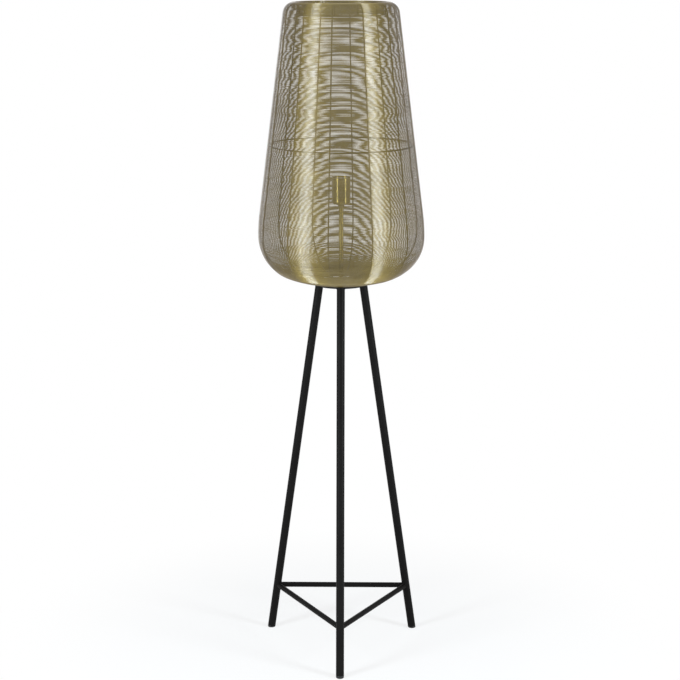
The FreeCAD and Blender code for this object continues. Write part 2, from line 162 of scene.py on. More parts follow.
# %% Group: patina
patina, start, end = new_group(
    "Patina",
    [("Light Color", "NodeSocketColor", (0.5, 0.5, 0.5, 1)),
     ("Dark Color", "NodeSocketColor", (0.3, 0.3, 0.3, 1)),
     ("Cloud Scale", "NodeSocketFloat", 12.0),
     ("Speck Scale", "NodeSocketFloat", 900.0),
     ("Speck Share", "NodeSocketFloat", 0.35)],
    [("Color", "NodeSocketColor"), ("Mask", "NodeSocketFloat")])
coords = node(patina, "ShaderNodeTexCoord")
clouds = node(patina, "ShaderNodeTexNoise", sockets={"Detail": 4.0, "Roughness": 0.6})
specks = node(patina, "ShaderNodeTexNoise", sockets={"Detail": 2.0, "Roughness": 0.5})
blend = node(patina, "ShaderNodeMix", data_type="FLOAT")
spread = node(patina, "ShaderNodeMapRange", sockets={"From Min": 0.3, "From Max": 0.7})
colours = node(patina, "ShaderNodeMix", data_type="RGBA")
link(patina, coords, "Object", clouds, "Vector")
link(patina, coords, "Object", specks, "Vector")
link(patina, start, "Cloud Scale", clouds, "Scale")
link(patina, start, "Speck Scale", specks, "Scale")
link(patina, start, "Speck Share", blend, 0)
link(patina, clouds, "Fac", blend, 2)
link(patina, specks, "Fac", blend, 3)
link(patina, blend, 0, spread, "Value")
link(patina, spread, 0, colours, 0)
link(patina, start, "Dark Color", colours, 6)
link(patina, start, "Light Color", colours, 7)
link(patina, colours, 2, end, "Color")
link(patina, spread, 0, end, "Mask")

# %% [markdown]
# ### Grain
# Powder coat has a skin like orange peel, and plated wire has small marks from drawing. They are
# under a millimetre across, too fine for geometry, so a noise drives a bump node.

# %% Group: grain
grain, start, end = new_group(
    "Grain",
    [("Scale", "NodeSocketFloat", 1500.0),
     ("Depth", "NodeSocketFloat", 0.2)],
    [("Normal", "NodeSocketVector")])
coords = node(grain, "ShaderNodeTexCoord")
noise = node(grain, "ShaderNodeTexNoise", sockets={"Detail": 2.0, "Roughness": 0.5})
bump = node(grain, "ShaderNodeBump", sockets={"Distance": 0.0002})
link(grain, coords, "Object", noise, "Vector")
link(grain, start, "Scale", noise, "Scale")
link(grain, noise, "Fac", bump, "Height")
link(grain, start, "Depth", bump, "Strength")
link(grain, bump, "Normal", end, "Normal")

# %% [markdown]
# ### Turning lines
# A turned piece keeps the fine rings of the tool that shaped it. A wave texture would draw rings
# that are too even. Noise that is stretched fifty times across the axis gives uneven rings.

# %% Group: turning lines
lathe, start, end = new_group(
    "Turning Lines",
    [("Lines", "NodeSocketFloat", 3000.0),
     ("Depth", "NodeSocketFloat", 0.2)],
    [("Normal", "NodeSocketVector")])
coords = node(lathe, "ShaderNodeTexCoord")
squash = node(lathe, "ShaderNodeMapping", sockets={"Scale": (0.02, 0.02, 1.0)})
lines = node(lathe, "ShaderNodeTexNoise", sockets={"Detail": 3.0, "Roughness": 0.7})
bump = node(lathe, "ShaderNodeBump", sockets={"Distance": 0.0001})
link(lathe, coords, "Object", squash, "Vector")
link(lathe, squash, "Vector", lines, "Vector")
link(lathe, start, "Lines", lines, "Scale")
link(lathe, lines, "Fac", bump, "Height")
link(lathe, start, "Depth", bump, "Strength")
link(lathe, bump, "Normal", end, "Normal")
print("shader groups:", len(bpy.data.node_groups))

# %% [markdown]
# ## Finishes
# One function builds a finish from the groups: two patina colours, a band of roughness between
# worn and fresh patches, and either grain or turning lines for the surface. Numbers that are the
# same all over a finish, such as its coat, sit on the shader's own sockets. *gloss* is how much a
# surface mirrors that isn't metal, and *edge* is the colour that a metal takes at a grazing angle.

# %% Helper for a finish
def finish(name, light, dark, roughness, metallic=0.0, clouds=12.0, specks=900.0, speck_share=0.35,
           texture=grain, texture_scale=1500.0, depth=0.2, coat=0.0, coat_roughness=0.1,
           coat_ior=1.5, gloss=0.5, edge=(1.0, 1.0, 1.0)):
    """A material with patina, varied roughness and a fine surface texture."""
    material = bpy.data.materials.new(name)
    material.use_nodes = True
    tree = material.node_tree
    shader = tree.nodes["Principled BSDF"]
    shader.inputs["Metallic"].default_value = metallic
    shader.inputs["Specular IOR Level"].default_value = gloss
    shader.inputs["Specular Tint"].default_value = (*edge, 1)
    shader.inputs["Coat Weight"].default_value = coat
    shader.inputs["Coat Roughness"].default_value = coat_roughness
    shader.inputs["Coat IOR"].default_value = coat_ior
    colour = node(tree, "ShaderNodeGroup", node_tree=patina)
    colour.inputs["Light Color"].default_value = (*light, 1)
    colour.inputs["Dark Color"].default_value = (*dark, 1)
    colour.inputs["Cloud Scale"].default_value = clouds
    colour.inputs["Speck Scale"].default_value = specks
    colour.inputs["Speck Share"].default_value = speck_share
    surface = node(tree, "ShaderNodeGroup", node_tree=texture)
    surface.inputs[0].default_value = texture_scale
    surface.inputs["Depth"].default_value = depth
    rough = node(tree, "ShaderNodeMapRange",
                 sockets={"To Min": roughness[1], "To Max": roughness[0]})
    link(tree, colour, "Color", shader, "Base Color")
    link(tree, colour, "Mask", rough, "Value")
    link(tree, rough, 0, shader, "Roughness")
    link(tree, surface, "Normal", shader, "Normal")
    return material


# %% [markdown]
# ### Finishes of the tripod
# The legs, braces and plate are black powder coat, which hardly shines, and the foot caps are
# moulded plastic, a little smoother. Both are almost black, and much of the light that the
# photograph shows on the legs is mirrored by the skin, so it comes from the gloss.

# %% Finishes of the tripod
powder_coat = finish("black_powder_coat", (0.0065, 0.006, 0.0055), (0.0035, 0.003, 0.003),
                     (0.38, 0.50), clouds=9.0, specks=2200.0, texture_scale=1300.0, depth=0.35,
                     gloss=0.045)
cap_plastic = finish("black_plastic", (0.014, 0.014, 0.014), (0.009, 0.009, 0.009),
                     (0.25, 0.36), clouds=40.0, specks=3000.0, texture_scale=2600.0, depth=0.12,
                     gloss=0.2)

# %% [markdown]
# ### Finishes of the shade
# Ribs, rings and winding are steel wire with antique brass plating. The ribs lie in the winding's
# shade, and the frame's brass is painted darker than the winding's. That darker colour is painted
# shade, and the hoops and spot welds share it. The winding has two kinds of shine in the
# photograph: a dull brass glow all round, and nearly white streaks down two bands. Rough metal
# gives the glow, and a clear lacquer, the coat, gives the streaks, since a coat mirrors a light in
# the light's own colour. The wire's brown edge colour keeps the sides of the shade, seen at a
# grazing angle, from going white.

# %% Finishes of the shade
# Darker than the wire's brass: painted shade of the winding over ribs, hoops and welds.
frame_brass_painted_shade = finish("frame_brass_painted_shade", (0.075, 0.055, 0.020), (0.042, 0.030, 0.010), (0.26, 0.40),
                     metallic=1.0, clouds=35.0, texture_scale=2500.0, depth=0.15)
wire_brass = finish("wire_brass", (0.205, 0.153, 0.037), (0.128, 0.093, 0.020), (0.35, 0.48),
                    metallic=1.0, clouds=30.0, texture_scale=4000.0, depth=0.10,
                    coat=1.0, coat_roughness=0.12, coat_ior=1.65,
                    edge=(0.40, 0.31, 0.15))

# %% [markdown]
# ### Finishes of the lampholder
# The cup is smooth brass with turning lines. Inside it are a glazed insert, bare brass for what
# carries current, and zinc-plated steel for the screws and the spring.

# %% Finishes of the lampholder
holder_brass = finish("holder_brass", (0.30, 0.235, 0.078), (0.21, 0.160, 0.052), (0.10, 0.16),
                      metallic=1.0, clouds=25.0, texture=lathe, texture_scale=3000.0, depth=0.10)
glazed_white = finish("glazed_white", (0.80, 0.79, 0.75), (0.72, 0.70, 0.65), (0.12, 0.22),
                      clouds=60.0, texture_scale=500.0, depth=0.10, coat=0.5)
bare_brass = finish("bare_brass", (0.72, 0.56, 0.28), (0.55, 0.41, 0.19), (0.22, 0.40),
                    metallic=1.0, clouds=120.0, texture_scale=3000.0, depth=0.15)
zinc_steel = finish("zinc_plated_steel", (0.62, 0.62, 0.63), (0.44, 0.44, 0.46), (0.25, 0.45),
                    metallic=1.0, clouds=150.0, texture_scale=3500.0, depth=0.20)

# %% [markdown]
# ### A finish for every CAD node
# The record of the frame names a material slot for each node. One table from slot to finish is all
# it takes to dress them, and no node can be forgotten.

# %% Give every CAD node its finish
SLOT_FINISH = {
    "black_steel": powder_coat, "black_plastic": cap_plastic, "cage_brass": frame_brass_painted_shade,
    "wire_brass": wire_brass, "holder_brass": holder_brass, "insert_ceramic": glazed_white,
    "contact_brass": bare_brass, "plated_steel": zinc_steel,
}
for part in frame["record"]["subparts"]:
    cad = frame["nodes"][part["node"]]
    for slot in cad.material_slots:
        slot.material = SLOT_FINISH[part["material_slot"]]
print("finishes:", len(SLOT_FINISH))

# %% [markdown]
# ## The cage's outline
# The ribs and the winding follow one outline: a shallow floor, a round bowl, a wall that leans
# in, a tight shoulder and a collar that turns down inside. Spin carries any geometry round an arc,
# and with an angle of zero it carries it along a line, so one walk along the outline makes a bent
# rod from a ring of edges, or a guide line from a single vertex. A row of the table gives a
# radius and the lean that its arc ends with, or a length where the outline is straight.

# %% Outline of the cage
OUTLINE_LEAN = 8.2
OUTLINE = (
    ("floor", 0.4900, 15.8), ("bowl", 0.0970, 90.0), ("blend", 0.3940, 97.15),
    ("wall", 0.4383, None), ("shoulder", 0.0257, 180.0), ("collar bend", 0.0084, 270.0),
    ("collar", 0.0210, None),
)
RIB_RADIUS = 1.5 * MM
WIRE_RADIUS = 0.6 * MM
RIB_INSET = 2 * WIRE_RADIUS + 0.1 * MM + RIB_RADIUS
RIB_FOOT = Vector((0.050264, 0.0, 0.8596))


def outline_start(inset):
    """The first point, a distance inside the shade's outer face, and the lean there."""
    lean = math.radians(OUTLINE_LEAN)
    normal = Vector((-math.sin(lean), 0.0, math.cos(lean)))
    return RIB_FOOT + normal * (inset - RIB_INSET), lean


def follow_outline(bm, geometry, inset, arc_steps):
    """Carries geometry along the outline, a distance inside the shade's outer face."""
    point, lean = outline_start(inset)
    for title, size, end_lean in OUTLINE:
        if end_lean is None:
            move = Vector((math.cos(lean), 0.0, math.sin(lean))) * size
            made = bmesh.ops.spin(bm, geom=geometry, cent=point, axis=(0, -1, 0), dvec=move,
                                  angle=0.0, steps=1, use_merge=False)
            point = point + move
        else:
            bend = math.radians(end_lean) - lean
            centre = point + Vector((-math.sin(lean), 0.0, math.cos(lean))) * (size - inset)
            made = bmesh.ops.spin(bm, geom=geometry, cent=centre, axis=(0, -1, 0),
                                  dvec=(0, 0, 0), angle=bend, steps=arc_steps, use_merge=False)
            point = centre + Matrix.Rotation(-bend, 3, "Y") @ (point - centre)
            lean += bend
        geometry = made["geom_last"]


def guide_line(inset, arc_steps=60):
    """Distance, radius and height along the outline, as three arrays."""
    bm = bmesh.new()
    first = bm.verts.new(outline_start(inset)[0])
    follow_outline(bm, [first], inset, arc_steps)
    bm.verts.ensure_lookup_table()
    points = np.array([vertex.co for vertex in bm.verts])
    bm.free()
    steps = np.linalg.norm(np.diff(points, axis=0), axis=1)
    return np.concatenate([[0.0], np.cumsum(steps)]), points[:, 0], points[:, 2]


distance, radius, height = guide_line(0.0)
print("outline: %.1f mm long, widest %.1f mm, top %.1f mm"
      % (distance[-1] / MM, 2 * radius.max() / MM, height.max() / MM))

# %% [markdown]
# ## Ribs
# A rib is a rod of 3 mm wire, bent on a jig. A curve with a bevel would do, but its arcs are only
# near to round. A ring of twelve edges, set square to the outline at the rib's foot and carried
# along it, follows the true arcs. Twelve such rods stand 30 degrees apart.

# %% Ribs
RIB_COUNT = 12
RIB_TURN = math.radians(22.1 - 90.0)
RIB_ARC_STEPS = 16


def ring_of_edges(bm, size, sides, matrix):
    """An open ring of edges, and its vertices and edges as one list."""
    ring = bmesh.ops.create_circle(bm, cap_ends=False, radius=size, segments=sides, matrix=matrix)
    return ring["verts"] + list({edge for vertex in ring["verts"] for edge in vertex.link_edges})


def turn_piece(bm, angle):
    """Turns all of a bmesh about the lamp's axis."""
    bmesh.ops.rotate(bm, cent=(0, 0, 0), matrix=Matrix.Rotation(angle, 3, "Z"), verts=bm.verts)


def rib_mesh():
    """One rib in the plane of +X, closed at both ends."""
    bm = bmesh.new()
    foot, lean = outline_start(RIB_INSET)
    square = Matrix.Rotation(math.pi / 2 - lean, 4, "Y")
    ring = ring_of_edges(bm, RIB_RADIUS, 12, Matrix.Translation(foot) @ square)
    follow_outline(bm, ring, RIB_INSET, RIB_ARC_STEPS)
    bmesh.ops.holes_fill(bm, edges=bm.edges, sides=0)
    bmesh.ops.recalc_face_normals(bm, faces=bm.faces)
    return bm


for index in range(RIB_COUNT):
    bm = rib_mesh()
    turn_piece(bm, RIB_TURN + 2 * math.pi * index / RIB_COUNT)
    make_piece(bm, "rib_wire_%02d" % (index + 1), frame_brass_painted_shade,
               ["rib_%02d" % (index + 1)])

# %% [markdown]
# ## Hoops
# Two hoops of the same wire hold the ribs apart, one half-way up the wall and one in the collar. A
# torus would do for each, but the lampholder needs full spins too, so one helper spins any section
# once round the axis and merges the seam, which leaves the piece closed.

# %% Hoops
def spin_round(bm, section, steps):
    """Spins a section once round the lamp's axis and closes the seam."""
    bmesh.ops.spin(bm, geom=section, cent=(0, 0, 0), axis=(0, 0, 1), dvec=(0, 0, 0),
                   angle=2 * math.pi, steps=steps, use_merge=True)
    bmesh.ops.remove_doubles(bm, verts=bm.verts, dist=1e-6)
    bmesh.ops.recalc_face_normals(bm, faces=bm.faces)
    return bm


def hoop_mesh(hoop_radius, level, wire_radius):
    """A closed hoop of round wire about the lamp's axis."""
    bm = bmesh.new()
    upright = Matrix.Translation((hoop_radius, 0, level)) @ Matrix.Rotation(math.pi / 2, 4, "X")
    return spin_round(bm, ring_of_edges(bm, wire_radius, 12, upright), 96)


for name in ("mid_ring", "collar_ring"):
    low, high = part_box(name)
    wire = (high.z - low.z) / 2
    make_piece(hoop_mesh(high.x - wire, (low.z + high.z) / 2, RIB_RADIUS),
               name + "_wire", frame_brass_painted_shade, [name])

# %% [markdown]
# ## The winding
# About four hundred turns of 1.2 mm wire are wound round the ribs by hand. From rib to rib the
# wire runs only a little flatter than a circle, and it is never laid quite evenly: turns crowd in
# some places and leave gaps in others, and a turn sits a little higher on one rib than on the
# next. That unevenness is what the eye sees, because light comes through the gaps of the front
# and the back at once. A curve with a round bevel is the natural tool for a long wire.
# Its points are worked out from the outline: one contact with a rib after another. Each contact
# is moved by a share of the free room beside the wire: a slow drift of its own on every rib, a
# slow drift of whole turns, and a little jitter. No turn is pushed through the one before.

# %% Sizes of the winding
PITCH_AT = (0.0, 0.040, 0.085, 0.720, 0.770, 0.850)
PITCH_MM = (1.50, 1.55, 1.80, 1.80, 1.60, 1.60)
WIRE_START = 14.0 * MM
WIRE_END = 2.5 * MM
LAST_CONTACT = 0.5 * MM
TURN_SPACE = 2.02 * WIRE_RADIUS
RIB_DRIFT = 0.5
TURN_DRIFT = 0.5
JITTER = 0.25
DRIFT_TURNS = 3
random = np.random.default_rng(7)
distance, radius, height = guide_line(WIRE_RADIUS)
length = distance[-1]

# %% Helper for slow drift
def smooth_noise(count, columns, span):
    """Random values that change slowly down each column, with a spread of about one."""
    raw = random.normal(size=(count + 8 * span, columns))
    weights = np.exp(-0.5 * (np.arange(-4 * span, 4 * span + 1) / span) ** 2)
    weights /= math.sqrt((weights ** 2).sum())
    smooth = [np.convolve(raw[:, column], weights, "valid")[:count] for column in range(columns)]
    return np.array(smooth).T


# %% Contacts in winding order
fine = np.linspace(WIRE_START, length - WIRE_END, 20000)
pitch = np.interp(fine, PITCH_AT, PITCH_MM) * MM
turns_at = np.concatenate([[0.0], np.cumsum(np.diff(fine) / pitch[1:])])
turn_count = int(turns_at[-1])
contact_turn = (np.arange(turn_count * RIB_COUNT) / RIB_COUNT).reshape(turn_count, RIB_COUNT)
resting = np.interp(contact_turn, turns_at, fine)
room = np.interp(resting, fine, pitch) - 2 * WIRE_RADIUS
shift = RIB_DRIFT * smooth_noise(turn_count, RIB_COUNT, DRIFT_TURNS)
shift = shift + JITTER * random.normal(size=resting.shape)
shift += TURN_DRIFT * smooth_noise(turn_count, 1, DRIFT_TURNS)
contact = resting + room * shift
for index in range(1, turn_count):
    contact[index] = np.maximum(contact[index], contact[index - 1] + TURN_SPACE)
contact = np.minimum(contact.ravel(), length - LAST_CONTACT)
print("winding: %d turns" % turn_count)

# %% [markdown]
# Between two ribs the wire keeps three quarters of the circle's bulge: a bulge of 0 would be a
# straight line, and 1 a true circle. Two points close to each rib keep the corner there tight.

# %% The wire's path
BULGE = 0.75
CORNER = 0.55 * MM
STEP = 2 * math.pi / RIB_COUNT
span_radius = np.interp(contact[:-1], distance, radius)
corner_share = CORNER / (span_radius * STEP)
shares = np.stack([corner_share, np.full_like(corner_share, 1 / 3),
                   np.full_like(corner_share, 2 / 3), 1 - corner_share], axis=1)
along = contact[:-1, None] + (contact[1:] - contact[:-1])[:, None] * shares
angle = RIB_TURN + (np.arange(len(contact) - 1)[:, None] + shares) * STEP
chord = math.cos(STEP / 2) / np.cos((shares - 0.5) * STEP)
reach = np.interp(along, distance, radius) * (chord + BULGE * (1 - chord))
path = np.stack([reach * np.cos(angle), reach * np.sin(angle),
                 np.interp(along, distance, height)], axis=2).reshape(-1, 3)
print("wire: %.0f m" % np.linalg.norm(np.diff(path, axis=0), axis=1).sum())

# %% [markdown]
# One wire of this length makes a heavy mesh, so it is cut into four lengths that meet end to end.
# Each is a poly curve with a round bevel, turned into a mesh so that it can be measured and kept.

# %% The wire's four lengths
def wire_mesh(name, points, wire_radius, bevel=1, cyclic=False):
    """A round wire along a line of points, as a mesh."""
    curve = bpy.data.curves.new(name, "CURVE")
    curve.dimensions = "3D"
    curve.bevel_depth = wire_radius
    curve.bevel_resolution = bevel
    curve.use_fill_caps = True
    spline = curve.splines.new("POLY")
    spline.points.add(len(points) - 1)
    spline.points.foreach_set("co", np.c_[points, np.ones(len(points))].ravel())
    spline.use_cyclic_u = cyclic
    holder = bpy.data.objects.new(name, curve)
    bpy.context.scene.collection.objects.link(holder)
    mesh = bpy.data.meshes.new_from_object(holder)
    bpy.data.objects.remove(holder)
    bpy.data.curves.remove(curve)
    mesh.name = name
    return mesh


WIRE_LENGTHS = ("winding_bowl", "winding_lower_wall", "winding_upper_wall", "winding_collar")
cuts = np.linspace(0, len(path) - 1, len(WIRE_LENGTHS) + 1).astype(int)
for name, low, high in zip(WIRE_LENGTHS, cuts, cuts[1:]):
    keep_piece(wire_mesh(name, path[low:high + 1], WIRE_RADIUS), name, wire_brass,
               ["winding"])

# %% [markdown]
# ## The lampholder
# The cup, the screw shell and the neck are all round about the axis, so each is drawn as half a
# section, in millimetres, and spun. A cylinder with bevelled edges would do for the cup, but a
# section shows its wall and its floor at a glance.

# %% Helper for spun pieces
def spun_mesh(section, steps=96):
    """A closed section of radius and height in millimetres, spun about the lamp's axis."""
    bm = bmesh.new()
    vertices = [bm.verts.new((r * MM, 0, z * MM)) for r, z in section]
    edges = [bm.edges.new(pair) for pair in zip(vertices, vertices[1:] + vertices[:1])]
    return spin_round(bm, vertices + edges, steps)


def arc(centre, size, start_angle, end_angle, steps=8):
    """Points on an arc of a section, in millimetres."""
    angles = np.radians(np.linspace(start_angle, end_angle, steps + 1))
    return [(centre[0] + size * math.cos(a), centre[1] + size * math.sin(a)) for a in angles]


# %% [markdown]
# ## Cup
# The cup has a thin wall, a round bottom edge and a rounded rim. Its floor is thick, because it
# has to take the stem. Its height is read from the frame, so the cup stays where the CAD has it.

# %% Cup
STEM_HOLE = 5.15
CUP_OUTER = 20.0
CUP_WALL = 1.0
CUP_FLOOR = 7.0
CUP_ROUND = 6.0
cup_low, cup_high = (corner.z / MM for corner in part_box("holder_cup"))
rim_round = CUP_WALL / 2
cup_section = [(STEM_HOLE, cup_low)]
cup_section += arc((CUP_OUTER - CUP_ROUND, cup_low + CUP_ROUND), CUP_ROUND, -90, 0, 10)
cup_section += arc((CUP_OUTER - rim_round, cup_high - rim_round), rim_round, 0, 180, 6)
cup_section += [(CUP_OUTER - CUP_WALL, cup_low + CUP_FLOOR), (STEM_HOLE, cup_low + CUP_FLOOR)]
make_piece(spun_mesh(cup_section), "holder_cup_spun", holder_brass,
           ["holder_cup"])

# %% [markdown]
# ## The screw shell
# A lamp's screw shell is sheet brass rolled into a round thread. A plain tube with many rows is
# enough to start from: each vertex then moves inwards by a wave that climbs one pitch per turn.
# The wave fades out at both ends, where the sheet is plain. A screw modifier could wind a profile
# up instead, but its ends would have to be closed by hand.

# %% Screw shell
THREAD_PITCH = 3.6
THREAD_DEPTH = 0.85
SHELL_INNER = 13.3
SHELL_OUTER = 13.7
SHELL_ROWS = 61
FADE_RATE = 12
shell_low, shell_high = (corner.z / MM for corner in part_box("screw_shell"))
rows = np.linspace(shell_low, shell_high, SHELL_ROWS)
shell_section = [(SHELL_OUTER, z) for z in rows] + [(SHELL_INNER, z) for z in rows[::-1]]
bm = spun_mesh(shell_section, 72)
for vertex in bm.verts:
    place = vertex.co
    height_share = (place.z / MM - shell_low) / (shell_high - shell_low)
    phase = place.z / MM / THREAD_PITCH - math.atan2(place.y, place.x) / (2 * math.pi)
    fade = min(1.0, FADE_RATE * height_share, FADE_RATE * (1 - height_share))
    wave = THREAD_DEPTH * fade * (0.5 - 0.5 * math.cos(2 * math.pi * phase))
    shrink = 1 - wave * MM / math.hypot(place.x, place.y)
    vertex.co = (place.x * shrink, place.y * shrink, place.z)
make_piece(bm, "screw_shell_rolled", bare_brass, ["screw_shell"])

# %% [markdown]
# ## Contact spring
# A coil is a line that turns and climbs. The first and the last turn lie flat, as on a real
# spring, so the height is read from a table that starts and ends gently. The spring shortens when
# a bulb presses the contact down; here the coil gets a mesh of its own.

# %% Contact spring
COIL_WIRE = 0.35
COIL_TURNS = 6.5
COIL_OUTER = 3.5
FLAT_TURN = 0.8
FLAT_RISE = 0.07
spring_low, spring_high = (corner.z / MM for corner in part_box("contact_spring"))
turns = np.linspace(0.0, COIL_TURNS, int(COIL_TURNS * 20) + 1)
climb = np.interp(turns, (0.0, FLAT_TURN, COIL_TURNS - FLAT_TURN, COIL_TURNS),
                  (0.0, FLAT_RISE, 1 - FLAT_RISE, 1.0))
coil_radius = COIL_OUTER - COIL_WIRE
coil = np.stack([coil_radius * np.cos(2 * math.pi * turns),
                 coil_radius * np.sin(2 * math.pi * turns),
                 spring_low + COIL_WIRE + (spring_high - spring_low - 2 * COIL_WIRE) * climb],
                axis=1) * MM
spring = keep_piece(wire_mesh("contact_coil", coil, COIL_WIRE * MM, 2), "contact_coil",
                    zinc_steel, ["contact_spring"])
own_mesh(spring)

# %% [markdown]
# ## Nuts
# A nut is a hexagon with a round hole, and three of them clamp the stem. Their corners are turned
# off at both ends: the vertices are bevelled while the nut is stretched, so the cut runs far along
# the edges and only a little down the corners once the nut has its true height again. A boolean
# with a cone would cut the same, but leaves long thin faces.

# %% Nuts
NUT_CORNER = 7.0 / math.cos(math.pi / 6)
NUT_LEVELS = (850.0, 860.5, 1040.0)
NUT_HEIGHT = 4.0
NUT_CHAMFER = 2.4
STRETCH = 3.5


def hexagon_nut(low):
    """A nut about the lamp's axis, with its underside at a height in millimetres."""
    bm = bmesh.new()
    rims = []
    for size, sides, turned in ((NUT_CORNER, 6, math.pi / 6), (STEM_HOLE, 36, 0.0)):
        rim = ring_of_edges(bm, size * MM, sides, Matrix.Rotation(turned, 4, "Z"))
        rims += [item for item in rim if isinstance(item, bmesh.types.BMEdge)]
    flat = bmesh.ops.bridge_loops(bm, edges=rims)["faces"]
    tall = bmesh.ops.extrude_face_region(bm, geom=flat)["geom"]
    raised = [item for item in tall if isinstance(item, bmesh.types.BMVert)]
    bmesh.ops.translate(bm, vec=(0, 0, NUT_HEIGHT * STRETCH * MM), verts=raised)
    middle = (STEM_HOLE + NUT_CORNER) / 2 * MM
    corners = [vertex for vertex in bm.verts if vertex.co.xy.length > middle]
    bmesh.ops.bevel(bm, geom=corners, offset=NUT_CHAMFER * MM, offset_type="OFFSET", segments=1,
                    profile=0.5, affect="VERTICES", material=-1)
    bmesh.ops.scale(bm, vec=(1, 1, 1 / STRETCH), verts=bm.verts)
    bmesh.ops.translate(bm, vec=(0, 0, low * MM), verts=bm.verts)
    bmesh.ops.recalc_face_normals(bm, faces=bm.faces)
    return bm


for index, low in enumerate(NUT_LEVELS):
    make_piece(hexagon_nut(low), "stem_nut_%d" % (index + 1), holder_brass,
               ["stem_nuts"], smooth=False)

# %% [markdown]
# ## Neck
# Under the cup the photograph shows a short piece that widens upwards from the stem. It is turned
# brass, so it is one more section to spin. Its side is a power curve, slow at first and then
# quicker, since a straight cone looks stiff there.

# %% Neck
NECK_LOW, NECK_HIGH = 1025.0, 1033.0
NECK_FOOT, NECK_HEAD = 5.95, 8.5
NECK_CHAMFER = 0.3
FLARE_HEIGHT = 7.3
FLARE_POWER = 1.4
flare_low = NECK_LOW + NECK_CHAMFER
neck_section = [(STEM_HOLE, NECK_LOW), (NECK_FOOT - NECK_CHAMFER, NECK_LOW)]
neck_section += [(NECK_FOOT + (NECK_HEAD - NECK_FOOT) * share ** FLARE_POWER,
                  flare_low + FLARE_HEIGHT * share) for share in (0.0, 0.25, 0.5, 0.75, 1.0)]
neck_section += [(NECK_HEAD, NECK_HIGH), (STEM_HOLE, NECK_HIGH)]
make_piece(spun_mesh(neck_section, 64), "stem_neck", holder_brass, ["stem_nuts"])

# %% [markdown]
# ## Foot caps
# A cap keeps the end of each tube off the floor. It is a short cylinder on the leg's line, cut
# level with the floor by a bisecting plane, which is simpler than a slanted section. Its sole and
# its upper edge are rounded. The plug inside the leg is a hexagon.

# %% Helper for pieces on a leg
LEG_FOOT = Vector((0.1937, 0.0, 0.0))
LEG_HEAD = Vector((0.0555, 0.0, 0.854))
LEG_RADIUS = 9.0 * MM
CAP_HEAD = 4.5 * MM
SOLE_ROUND = 1.2 * MM
HEAD_ROUND = 0.5 * MM
PLUG_RADIUS = 7.3 * MM
PLUG_DEPTH = 14.0 * MM
SLACK = 0.01 * MM
leg_way = (LEG_HEAD - LEG_FOOT).normalized()
leg_square = leg_way.to_track_quat("Z", "Y").to_matrix().to_4x4()


def leg_cylinder(bm, size, start, end, sides):
    """A capped cylinder on the line of the leg in the plane of +X."""
    middle = Matrix.Translation(LEG_FOOT + leg_way * (start + end) / 2)
    bmesh.ops.create_cone(bm, cap_ends=True, cap_tris=False, segments=sides, radius1=size,
                          radius2=size, depth=end - start, matrix=middle @ leg_square)


# %% Foot caps
def foot_cap():
    """The cap and its plug, on the leg in the plane of +X."""
    bm = bmesh.new()
    leg_cylinder(bm, LEG_RADIUS, -2 * LEG_RADIUS, CAP_HEAD, 48)
    everything = bm.verts[:] + bm.edges[:] + bm.faces[:]
    bmesh.ops.bisect_plane(bm, geom=everything, plane_co=(0, 0, 0), plane_no=(0, 0, 1),
                           clear_inner=True)
    bmesh.ops.holes_fill(bm, edges=[edge for edge in bm.edges if edge.is_boundary], sides=0)
    sole = [edge for edge in bm.edges if max(vertex.co.z for vertex in edge.verts) < SLACK]
    upper = [edge for edge in bm.edges if min(
        (vertex.co - LEG_FOOT).dot(leg_way) for vertex in edge.verts) > CAP_HEAD - SLACK]
    bmesh.ops.bevel(bm, geom=sole, offset=SOLE_ROUND, segments=4, profile=0.5, affect="EDGES",
                    material=-1)
    upper = [edge for edge in upper if edge.is_valid]
    bmesh.ops.bevel(bm, geom=upper, offset=HEAD_ROUND, segments=3, profile=0.5, affect="EDGES",
                    material=-1)
    leg_cylinder(bm, PLUG_RADIUS, CAP_HEAD + SLACK, CAP_HEAD + PLUG_DEPTH, 6)
    bmesh.ops.recalc_face_normals(bm, faces=bm.faces)
    return bm


LEG_TURNS = {"front": -90.0, "right": 30.0, "left": 150.0}
for name, degrees in LEG_TURNS.items():
    bm = foot_cap()
    turn_piece(bm, math.radians(degrees))
    make_piece(bm, "foot_cap_" + name, cap_plastic, ["foot_caps"])

# %% [markdown]
# ## Weld seams
# Where two pieces of the tripod are welded there is a small bead. Beads between round bars follow
# the line on which the two cylinders meet. A boolean would find that line too, but it is easy to
# work out point by point: a point slides along the brace until it lies on the leg.

# %% Line between a brace and its leg
BRACE_LEVEL = 0.110
BRACE_RADIUS = 6.0 * MM
BRACE_TURN = math.radians(30)
SEAM_RADIUS = 0.9 * MM
SEAM_DROP = 0.3 * MM
around = np.linspace(0, 2 * math.pi, 49)[:-1]


def turned_points(points, degrees):
    """Points turned about the lamp's axis."""
    turning = np.array(Matrix.Rotation(math.radians(degrees), 3, "Z"))
    return np.asarray(points) @ turning.T


def brace_seam(side):
    """The line on which a brace meets the leg in the plane of +X."""
    reach = np.interp(BRACE_LEVEL, (LEG_FOOT.z, LEG_HEAD.z), (LEG_FOOT.x, LEG_HEAD.x))
    centre = Vector((reach, 0, BRACE_LEVEL))
    along = Vector((-math.cos(BRACE_TURN), side * math.sin(BRACE_TURN), 0))
    across = along.cross(Vector((0, 0, 1)))
    points = []
    for angle in around:
        edge = centre + (across * math.cos(angle) + Vector((0, 0, math.sin(angle)))) * BRACE_RADIUS
        offset = edge - LEG_FOOT
        apart = offset - leg_way * offset.dot(leg_way)
        slide = along - leg_way * along.dot(leg_way)
        a, b, c = slide.dot(slide), 2 * apart.dot(slide), apart.dot(apart) - LEG_RADIUS ** 2
        points.append(edge + along * (-b + math.sqrt(b * b - 4 * a * c)) / (2 * a))
    return points


